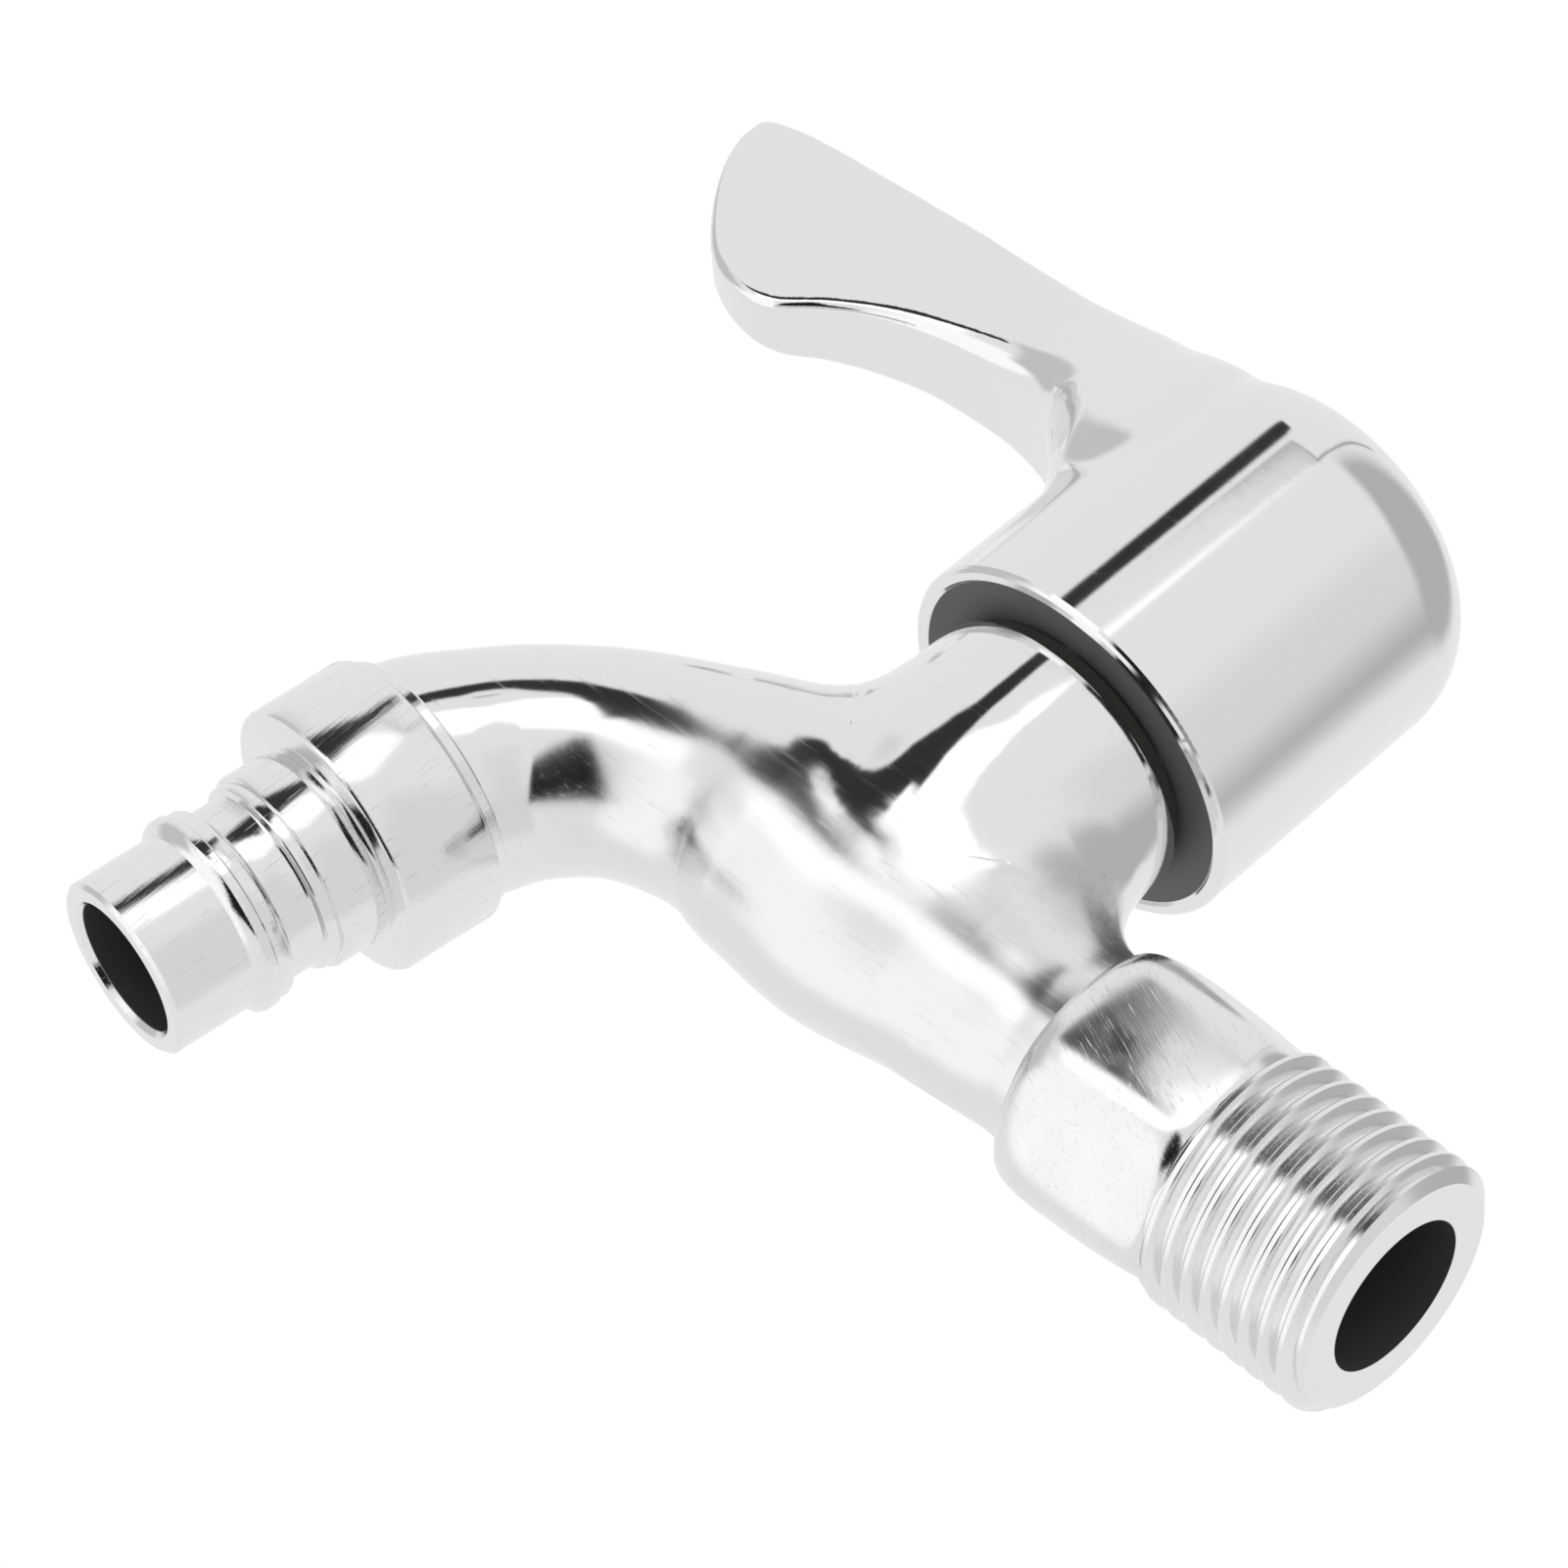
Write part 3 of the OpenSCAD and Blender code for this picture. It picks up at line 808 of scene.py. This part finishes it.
def barrel_satin(graph, place):
    """Full on the barrel and the waist, which were polished by hand, and none on neck and spout."""
    forward = VALVE_Y - graph.along(place, (0, 1, 0))
    height = graph.along(place, (0, 0, 1))
    side = graph.along(place, (1, 0, 0))
    cloud = 0.008 * (graph.noise(place, 160.0, 2.0) - 0.5)
    low = 1.0 - (height + cloud).between(-0.004, 0.0035)
    saddle = (1.0 - (forward + cloud).between(-0.012, -0.006)) * (1.0 - height.between(0.01, 0.015))
    barrel = low * (1.0 - (forward + cloud).between(0.018, 0.0265)) * side.between(-0.004, 0.001)
    return (barrel + saddle).clamp()


def patchy_satin(graph, place):
    """Satin all over, in patches, for the wrench hexagon and the thread."""
    return graph.noise(place, 220.0, 2.0).between(0.2, 0.6) * 0.8


class FAUCET_OT_casting(bpy.types.Operator):
    """Build the casting: the barrel, the neck and the bent spout in one skin"""

    bl_idname = "faucet.casting"
    bl_label = "Casting"

    def execute(self, context):
        """Fuses the swept barrel and the neck, rounds their joint and opens the bores."""
        sizes = context.scene.faucet_sizes
        ends = [OUTLET_TIP - OUTLET_AXIS * (COLLAR_BACK + past) * MM for past in (0.4, -2)]
        stations = CASTING_PATH + [((VALVE_Y - end.y) / MM, end.z / MM, SPOUT_END_R) for end in ends]
        barrel = swept(smooth_path(stations, 8), 72, OUTLET_AXIS)
        neck = turned(NECK_OUTLINE, at_valve(), sizes.turned_steps)
        piece = fused([barrel, neck], "tap_casting", sizes.voxel)
        path = np.array(smooth_path(stations, 24))
        outline = np.array(smooth_path(NECK_OUTLINE[1:-1], 40))

        def from_casting(points):
            """The distance from the barrel and the neck with the fillet between them."""
            neck_gap, neck_way = from_turned(points, outline)
            neck_gap = np.maximum(neck_gap, outline[0, 1] - points[:, 2])
            fillet = sizes.neck_fillet / MM * (1 + 0.6 * np.clip(-points[:, 1] / 12, 0, 1))
            return blended(from_sweep(points, path), (neck_gap, neck_way), fillet)

        laid_on(piece, from_casting)
        even_out(piece, 2, "")
        settled(piece)
        neck_rim = [
            (11.8, 0.25), (11.4, 0.5), (9.2, 0.5), (9.2, -7.4), (8.8, -7.4), (8.8, -16.2), (0, -16.2),
        ]
        opened(piece, at_valve(19.4 * MM), neck_rim, sizes.turned_steps)
        hidden = 27
        inlet = along_inlet() @ facing_down(hidden)
        past = hidden - INLET_DEPTH
        opened(piece, inlet, [(INLET_R, 0), (INLET_R, past), (0, past)], sizes.turned_steps)
        spout_r, spout_depth = 6, 8
        foot = at_outlet() @ facing_down(COLLAR_BACK + 0.3)
        opened(piece, foot, [(spout_r, 0), (spout_r, -spout_depth), (0, -spout_depth)], sizes.turned_steps)
        shade(piece)
        material = plated_material(
            "plated_casting", 2.2e-5, 0.7, (1.0, 0.05, 1.0), satin=barrel_satin,
        )
        finish_piece(piece, material, TAP, "body")
        return {"FINISHED"}


class FAUCET_OT_inlet(bpy.types.Operator):
    """Build the inlet: the wrench hexagon and the helical thread"""

    bl_idname = "faucet.inlet"
    bl_label = "Inlet"

    def execute(self, context):
        """Makes the hexagon and the thread and cuts the waterway out of both."""
        sizes = context.scene.faucet_sizes
        self.make_hexagon(sizes)
        self.make_thread(sizes)
        return {"FINISHED"}

    def make_hexagon(self, sizes):
        """The hexagon, with softly rounded edges, slightly domed flats and a rounded back end."""
        start = sizes.thread_length / MM
        length = sizes.wrench_length / MM
        flats_dome = 0.35
        half = sizes.wrench_flats / MM / 2 + flats_dome
        widest = half / math.cos(math.radians(30)) + 0.6
        round_r = 4.6
        profile = [(0.02, widest - 1.9), (0.25, widest - 1.3), (0.7, widest - 0.6), (1.3, widest - 0.15)]
        profile += [(1.6 + k * (length - round_r - 1.6) / 14, widest) for k in range(15)]
        profile += [(z, r) for r, z in arc((widest - round_r, length - round_r), round_r, 4, 82, 22)]

        def swell(z):
            """How much the flats draw in toward both ends, more toward the thread."""
            off = z / length - 0.5
            return 1.6 * off ** 2 - 0.5 * off

        rings = [self.plain_ring(INLET_R, start), self.plain_ring(9, start)]
        rings += [self.hexagon_ring(half - swell(z), turned_r, start + z) for z, turned_r in profile]
        rings += [self.plain_ring(6.6, start + length), self.plain_ring(INLET_R, start + length)]
        rings += [self.plain_ring(INLET_R, start + length * (1 - k / 6)) for k in range(1, 7)]
        piece = join_forms([ring_lofted(rings, False)], "wrench_section")
        shade(piece, 40)
        # Inside the inlet bore the dark bare colour is painted shade
        material = plated_material(
            "plated_wrench", 1.6e-5, 2.4, (2.5, 0.1, 2.5), satin=patchy_satin,
            turn=math.radians(-22), plated=outside_mount("inlet_bore"),
        )
        finish_piece(piece, material, TAP, "body")

    def plain_ring(self, radius, depth):
        """A round ring about the inlet's axis."""
        return [self.inlet_point(radius, math.tau * j / HEXAGON_POINTS, depth) for j in range(HEXAGON_POINTS)]

    def hexagon_ring(self, half, turned_r, depth):
        """A ring that is a soft hexagon, held inside a turned radius."""
        ring = []
        crisp = HEXAGON_CRISP
        faces = [math.radians(HEXAGON_TURN + 60 * k) for k in range(3)]
        for j in range(HEXAGON_POINTS):
            turn = math.tau * j / HEXAGON_POINTS
            flats = sum(abs(math.cos(turn - face) / half) ** crisp for face in faces)
            ring.append(self.inlet_point((flats + turned_r ** -crisp) ** -(1 / crisp), turn, depth))
        return ring

    def inlet_point(self, radius, turn, depth):
        """The point at a radius, a turn from the top and a depth behind the inlet's end face."""
        return Vector((radius * math.sin(turn), -depth, radius * math.cos(turn))) * MM

    def make_thread(self, sizes):
        """The helical thread: one pitch of its outline, spun and lifted turn by turn."""
        pitch = sizes.thread_pitch
        length = sizes.thread_length
        crest = THREAD_R
        root = THREAD_R - sizes.thread_depth
        steps = 96
        turns = int(length / pitch) + 3
        bm = bmesh.new()
        flank = crest - 0.12 * MM
        profile = [
            (root, 0), (root, 0.2), (flank, 0.44), (crest, 0.52), (crest, 0.72), (flank, 0.8), (root, 1),
        ]
        verts, edges = open_ring(bm, [(r, 0, (z - 1.5) * pitch) for r, z in profile])
        bmesh.ops.spin(
            bm, geom=verts + edges, axis=(0, 0, 1), cent=(0, 0, 0), angle=math.tau * turns,
            steps=steps * turns, dvec=(0, 0, pitch / steps), use_merge=False,
        )
        bmesh.ops.remove_doubles(bm, verts=bm.verts, dist=2e-6)
        for height, side in ((0.0, True), (length + 0.3 * MM, False)):
            geom = list(bm.verts) + list(bm.edges) + list(bm.faces)
            bmesh.ops.bisect_plane(
                bm, geom=geom, plane_co=(0, 0, height), plane_no=(0, 0, 1), clear_inner=side,
                clear_outer=not side, dist=1e-7,
            )
        bmesh.ops.holes_fill(bm, edges=[e for e in bm.edges if e.is_boundary], sides=0)
        bmesh.ops.recalc_face_normals(bm, faces=bm.faces)
        bmesh.ops.transform(bm, matrix=along_inlet(), verts=bm.verts)
        piece = join_forms([bm], "inlet_thread")
        end = length / MM + 1
        clear_r = crest / MM + 0.15
        lead = [(0, -0.5), (9.35, -0.5), (9.35, 0.0), (clear_r, 1.05), (clear_r, end), (0, end)]
        cut(piece, [turned(lead, along_inlet(), sizes.turned_steps)], "INTERSECT")
        waterway = [(0, -3), (INLET_R, -3), (INLET_R, INLET_DEPTH), (0, INLET_DEPTH)]
        cut(piece, [turned(waterway, along_inlet(), sizes.turned_steps)])
        shade(piece, 28)
        # Inside the inlet bore the dark bare colour is painted shade
        material = plated_material(
            "plated_thread", 2.6e-5, 0.8, (1.0, 1.0, 1.0), satin=patchy_satin,
            plated=outside_mount("inlet_bore"),
        )
        finish_piece(piece, material, TAP, "body")


class FAUCET_OT_nozzle(bpy.types.Operator):
    """Turn the spout's shoulder and the hose nozzle with its collar"""

    bl_idname = "faucet.nozzle"
    bl_label = "Hose nozzle"

    def execute(self, context):
        """Turns the shoulder and the nozzle on the outlet axis."""
        sizes = context.scene.faucet_sizes
        place = at_outlet()
        # Inside the outlet bore the dark bare colour is painted shade
        material = plated_material(
            "plated_nozzle", 6e-6, 3.0, (2.0, 2.0, 0.08), tuple(OUTLET_AXIS), 5e-6,
            plated=outside_mount("outlet_bore"),
        )
        collar_r = 11.05
        front, back = COLLAR_FRONT, COLLAR_BACK
        bore = OUTLET_R
        outline = [
            (bore, 0.5), (bore + 0.35, 0), (6.9, 0), (7.225, 0.3), (7.225, 6.9), (7.45, 7.05), (7.95, 7.5),
            (8.1, 7.8), (8.1, 8.5), (7.85, 8.7), (7.85, 9.6), (7.7, 9.9), (7.1, 10.3), (7.1, 12.8), (7.2, 13),
            (7.65, 13.2), (7.7, 13.3), (7.7, 14.1), (8.05, 14.2), (8.1, 14.35), (8.1, front - 1.1),
            (7.95, front - 0.95), (7.8, front - 0.6), (7.8, front - 0.1), (8.0, front),
            (collar_r - 0.55, front), (collar_r - 0.15, front + 0.15), (collar_r, front + 0.5),
            (collar_r, back - 0.45), (collar_r - 0.12, back - 0.15), (collar_r - 0.45, back),
            (9.35, back), (9.35, 19.6), (bore, 19.6), (bore, 0.5),
        ]
        nozzle = join_forms([turned(outline, place, sizes.turned_steps)], "hose_nozzle_turned")
        shade(nozzle, 30)
        finish_piece(nozzle, material, TAP, "hose_nozzle")
        ring = [
            (6, back - 5.4), (9.2, back - 5.4), (9.2, back + 0.02), (10.15, back + 0.02), (10.3, back + 0.2),
            (10.3, back + 0.85), (10.15, back + 1.05), (9.3, back + 1.15), (6, back + 1.15), (6, back - 5.4),
        ]
        shoulder = join_forms([turned(ring, place, sizes.turned_steps)], "spout_shoulder")
        shade(shoulder, 30)
        finish_piece(shoulder, material, TAP, "body")
        return {"FINISHED"}


class FAUCET_OT_handle(bpy.types.Operator):
    """Build the handle: the bell and its upright lever in one skin"""

    bl_idname = "faucet.handle"
    bl_label = "Handle"

    def execute(self, context):
        """Fuses the bell and the lever, rounds their joint and opens the hollow."""
        sizes = context.scene.faucet_sizes
        rim = BELL_LOW.z / MM
        top = BELL_HIGH.z / MM
        bell_r = -BELL_LOW.x / MM
        crown_r = bell_r - 0.15
        dome = sizes.dome_round / MM
        well = 5.2
        outer = [(0, rim - 3), (bell_r, rim - 3), (bell_r, rim)]
        outer += arc((crown_r - dome, top - dome), dome, 0, 90, 24)
        outer += [(well, top), (well, top - 4.8), (0, top - 4.8)]
        bell = turned(outer, at_valve(), sizes.turned_steps)
        piece = fused([bell, self.lever(6)], "lever_handle", sizes.voxel)
        wall = [(bell_r, rim - 4), (bell_r, rim), (crown_r, top - dome)]
        outline = [
            (a[0] + (b[0] - a[0]) * k / 60, a[1] + (b[1] - a[1]) * k / 60)
            for a, b in zip(wall, wall[1:]) for k in range(60)
        ]
        outline += arc((crown_r - dome, top - dome), dome, 0, 90, 120)
        outline += [((crown_r - dome) * (1 - k / 30), top) for k in range(1, 31)]
        outline = np.array(outline)
        sections = np.array(smooth_path(LEVER_PATH, 24))

        def from_handle(points):
            """The distance from the bell and the lever, and none where the points stay."""
            lever_gap = np.maximum(from_sections(points, sections), sections[0, 0] - points[:, 1])
            whole = np.minimum(from_turned(points, outline)[0], lever_gap)
            held = (np.hypot(points[:, 0], points[:, 1]) < well + 0.7) & (points[:, 2] > top - dome)
            return np.where(held | (points[:, 1] > 30), 0, whole)

        laid_on(piece, from_handle)

        def near_root(p):
            """Full where the lever grows out of the bell."""
            ahead = (VALVE_Y - p.y) / MM
            return ramp(ahead, 4, 9) * (1 - ramp(ahead, 22, 30)) * ramp(p.z / MM, 28, 32)

        melt(piece, near_root, 4, 60)
        blade = placed(mesh_from(self.lever(16), "blade"), "blade")
        wrap(piece, blade, "ON_SURFACE", weigh(piece, "blade", lambda p: ramp((VALVE_Y - p.y) / MM, 27, 31)))
        settled(piece)
        piece.vertex_groups.clear()
        discard(blade)
        hollow_r = bell_r - sizes.bell_wall / MM
        lip = 0.45
        hollow = [
            (bell_r - 0.12, rim + 0.2), (bell_r - 0.35, rim), (hollow_r + 0.3, rim), (hollow_r, rim + 0.3),
            (hollow_r - 0.2, top - 10), (hollow_r - 1.2, top - 7.6), (hollow_r - 3.5, top - 6),
            (7.4, top - 6), (7.4, 30), (5.4, 30), (5.4, 41), (0, 41),
        ]
        mouth = at_valve() @ facing_down(rim + lip)
        opened(piece, mouth, [(r, rim + lip - z) for r, z in hollow], sizes.turned_steps)
        shade(piece)
        # Inside the bell's hollow the dark bare colour is painted shade
        material = plated_material(
            "plated_handle", 1.0e-5, 0.35, (1.0, 0.3, 1.0),
            plated=outside_bell(hollow_r * MM), bare=context.scene.faucet_finish.hollow_bare_and_shade_colour,
        )
        finish_piece(piece, material, HANDLE, "handle")
        return {"FINISHED"}

    def lever(self, steps):
        """The lever as rounded upright sections along its length."""
        rings = []
        for ahead, half, low, high, rounding in smooth_path(LEVER_PATH, steps):
            r = min(rounding, half - 0.1, (high - low) / 2 - 0.1)
            section = arc((half - r, high - r), r, 0, 90, 8) + arc((r - half, high - r), r, 90, 180, 8)
            section += arc((r - half, low + r), r, 180, 270, 8) + arc((half - r, low + r), r, 270, 360, 8)
            rings.append([(x * MM, VALVE_Y - ahead * MM, z * MM) for x, z in section])
        return ring_lofted(rings)


class FAUCET_OT_button(bpy.types.Operator):
    """Turn the index button that closes the screw hole in the dome"""

    bl_idname = "faucet.button"
    bl_label = "Index button"

    def execute(self, context):
        """Turns the button from its outline."""
        top = BELL_HIGH.z / MM
        outline = [(0, 50), (5.2, 50), (5.2, top), (6.1, top), (6.2, top + 0.1), (6.2, top + 0.3)]
        outline += arc((5.55, top + 0.3), 0.65, 0, 70, 6) + [(3, top + 0.98), (0, top + 1)]
        button = join_forms([turned(outline, at_valve(), 96)], "index_button_turned")
        shade(button)
        material = plated_material("plated_button", 3e-6, 0.3, (1.0, 1.0, 1.0))
        finish_piece(button, material, HANDLE, "index_button")
        return {"FINISHED"}


class FAUCET_OT_valve(bpy.types.Operator):
    """Give the valve's own pieces their finishes"""

    bl_idname = "faucet.valve"
    bl_label = "Valve finishes"

    def execute(self, context):
        """Puts a machined, moulded or lapped finish on each solid that stays."""
        finish = context.scene.faucet_finish
        brass = plain_material("machined_brass", finish.brass_colour, 1.0, 0.25, 2500.0, 4e-6)
        steel = plain_material("plain_steel", finish.steel_colour, 1.0, 0.3, 3000.0, 3e-6)
        rubber = plain_material("seal_rubber", finish.rubber_colour, 0.0, 0.6, 1800.0, 8e-6)
        fibre = plain_material("pressed_fibre", finish.fibre_colour, 0.0, 0.8, 1500.0, 2e-5, 0.3)
        ceramic = plain_material("lapped_ceramic", finish.ceramic_colour, 0.0, 0.2, 900.0, 1e-6, 0.05)
        finishes = {
            "cartridge_housing": steel, "spindle": brass, "spline_insert": brass, "retaining_clip": steel,
            "seat_ring": steel, "screw_washer": steel, "handle_screw": steel, "nozzle_washer": rubber,
            "seat_seal": rubber, "lower_o_ring": rubber, "upper_o_ring": rubber, "housing_gasket": fibre,
            "fixed_disc": ceramic, "moving_disc": ceramic, "thrust_washer": ceramic,
        }
        for node, material in finishes.items():
            for part_slot in frame["nodes"][node].material_slots:
                part_slot.material = material
        return {"FINISHED"}


class FAUCET_OT_studio(bpy.types.Operator):
    """Set up the floor, the white surroundings and the camera"""

    bl_idname = "faucet.studio"
    bl_label = "Studio"

    def execute(self, context):
        """Builds the floor, the world and the camera."""
        studio = context.scene.faucet_studio
        self.make_floor(studio)
        self.make_world(context)
        self.make_camera(context, studio)
        context.scene.view_settings.view_transform = "Standard"
        return {"FINISHED"}

    def make_floor(self, studio):
        """A wide pale floor below the tap, which hangs above it as on a wall."""
        bm = bmesh.new()
        bmesh.ops.create_grid(bm, x_segments=1, y_segments=1, size=6.0)
        bmesh.ops.translate(bm, vec=(0, 0, -studio.floor_drop), verts=bm.verts)
        floor = placed(mesh_from(bm, "floor"), "floor")
        material, graph = new_material("pale_floor")
        surface(graph, {"Base Color": rgba(studio.floor_colour), "Roughness": 0.9})
        floor.data.materials.append(material)
        floor.visible_glossy = False

    def make_world(self, context):
        """A white light tent round the tap, whose panels and gaps show only in reflections."""
        world = bpy.data.worlds.new("light_tent")
        world.use_nodes = True
        context.scene.world = world
        graph = Graph(world.node_tree)
        way = graph.node("ShaderNodeTexCoord", {}, {}, "Generated")
        level = TENT_LEVEL
        for _, shade_level, softness, corners in TENT_PANELS:
            mask = 1.0
            ways = [tent_way(*corner) for corner in corners]
            middle = sum(ways, Vector())
            for a, b in zip(ways, ways[1:] + ways[:1]):
                edge = a.cross(b).normalized()
                if edge.dot(middle) < 0:
                    edge.negate()
                side = graph.along(way, tuple(edge))
                mask = side.between(-softness, softness) * mask
            level = level + mask * (shade_level - level)
        path = graph.node("ShaderNodeLightPath", {}, {}, "Is Glossy Ray")
        shown = 1.0 + path * (level - 1.0)
        tent = graph.node("ShaderNodeBackground", {}, {"Color": shown, "Strength": 1.0})
        graph.node("ShaderNodeOutputWorld", {}, {"Surface": tent})

    def make_camera(self, context, studio):
        """The camera at the photograph's viewing angle."""
        data = bpy.data.cameras.new("camera")
        data.lens = studio.focal_length
        data.sensor_width = 36
        data.clip_start = 0.01
        camera = placed(data, "camera")
        turn = Matrix(camera_axes()).transposed().to_4x4()
        camera.matrix_world = Matrix.Translation(studio.camera_place) @ turn
        context.scene.camera = camera


class FAUCET_PT_panel(bpy.types.Panel):
    """The faucet's sizes, finishes and steps"""

    bl_idname = "FAUCET_PT_panel"
    bl_label = "Faucet"
    bl_space_type = "VIEW_3D"
    bl_region_type = "UI"
    bl_category = "Faucet"

    def draw(self, context):
        """Lists the settings and one button for each step."""
        scene = context.scene
        for group in (scene.faucet_sizes, scene.faucet_finish, scene.faucet_studio):
            box = self.layout.box()
            for name in group.bl_rna.properties.keys():
                if name not in {"rna_type", "name"}:
                    box.prop(group, name)
        for step in STEPS:
            self.layout.operator(step.bl_idname)


STEPS = (
    FAUCET_OT_casting, FAUCET_OT_inlet, FAUCET_OT_nozzle, FAUCET_OT_handle, FAUCET_OT_button,
    FAUCET_OT_valve, FAUCET_OT_studio,
)
CLASSES = (FaucetSizes, FaucetFinish, FaucetStudio) + STEPS + (FAUCET_PT_panel,)


def register():
    """Makes the classes and the scene's settings known."""
    for cls in CLASSES:
        bpy.utils.register_class(cls)
    bpy.types.Scene.faucet_sizes = PointerProperty(type=FaucetSizes)
    bpy.types.Scene.faucet_finish = PointerProperty(type=FaucetFinish)
    bpy.types.Scene.faucet_studio = PointerProperty(type=FaucetStudio)


def unregister():
    """Takes the classes and the scene's settings away again."""
    del bpy.types.Scene.faucet_sizes
    del bpy.types.Scene.faucet_finish
    del bpy.types.Scene.faucet_studio
    for cls in reversed(CLASSES):
        bpy.utils.unregister_class(cls)


def main():
    """Builds every piece in order."""
    register()
    for step in STEPS:
        group, name = step.bl_idname.split(".")
        getattr(getattr(bpy.ops, group), name)()


if __name__ == "__main__":
    main()
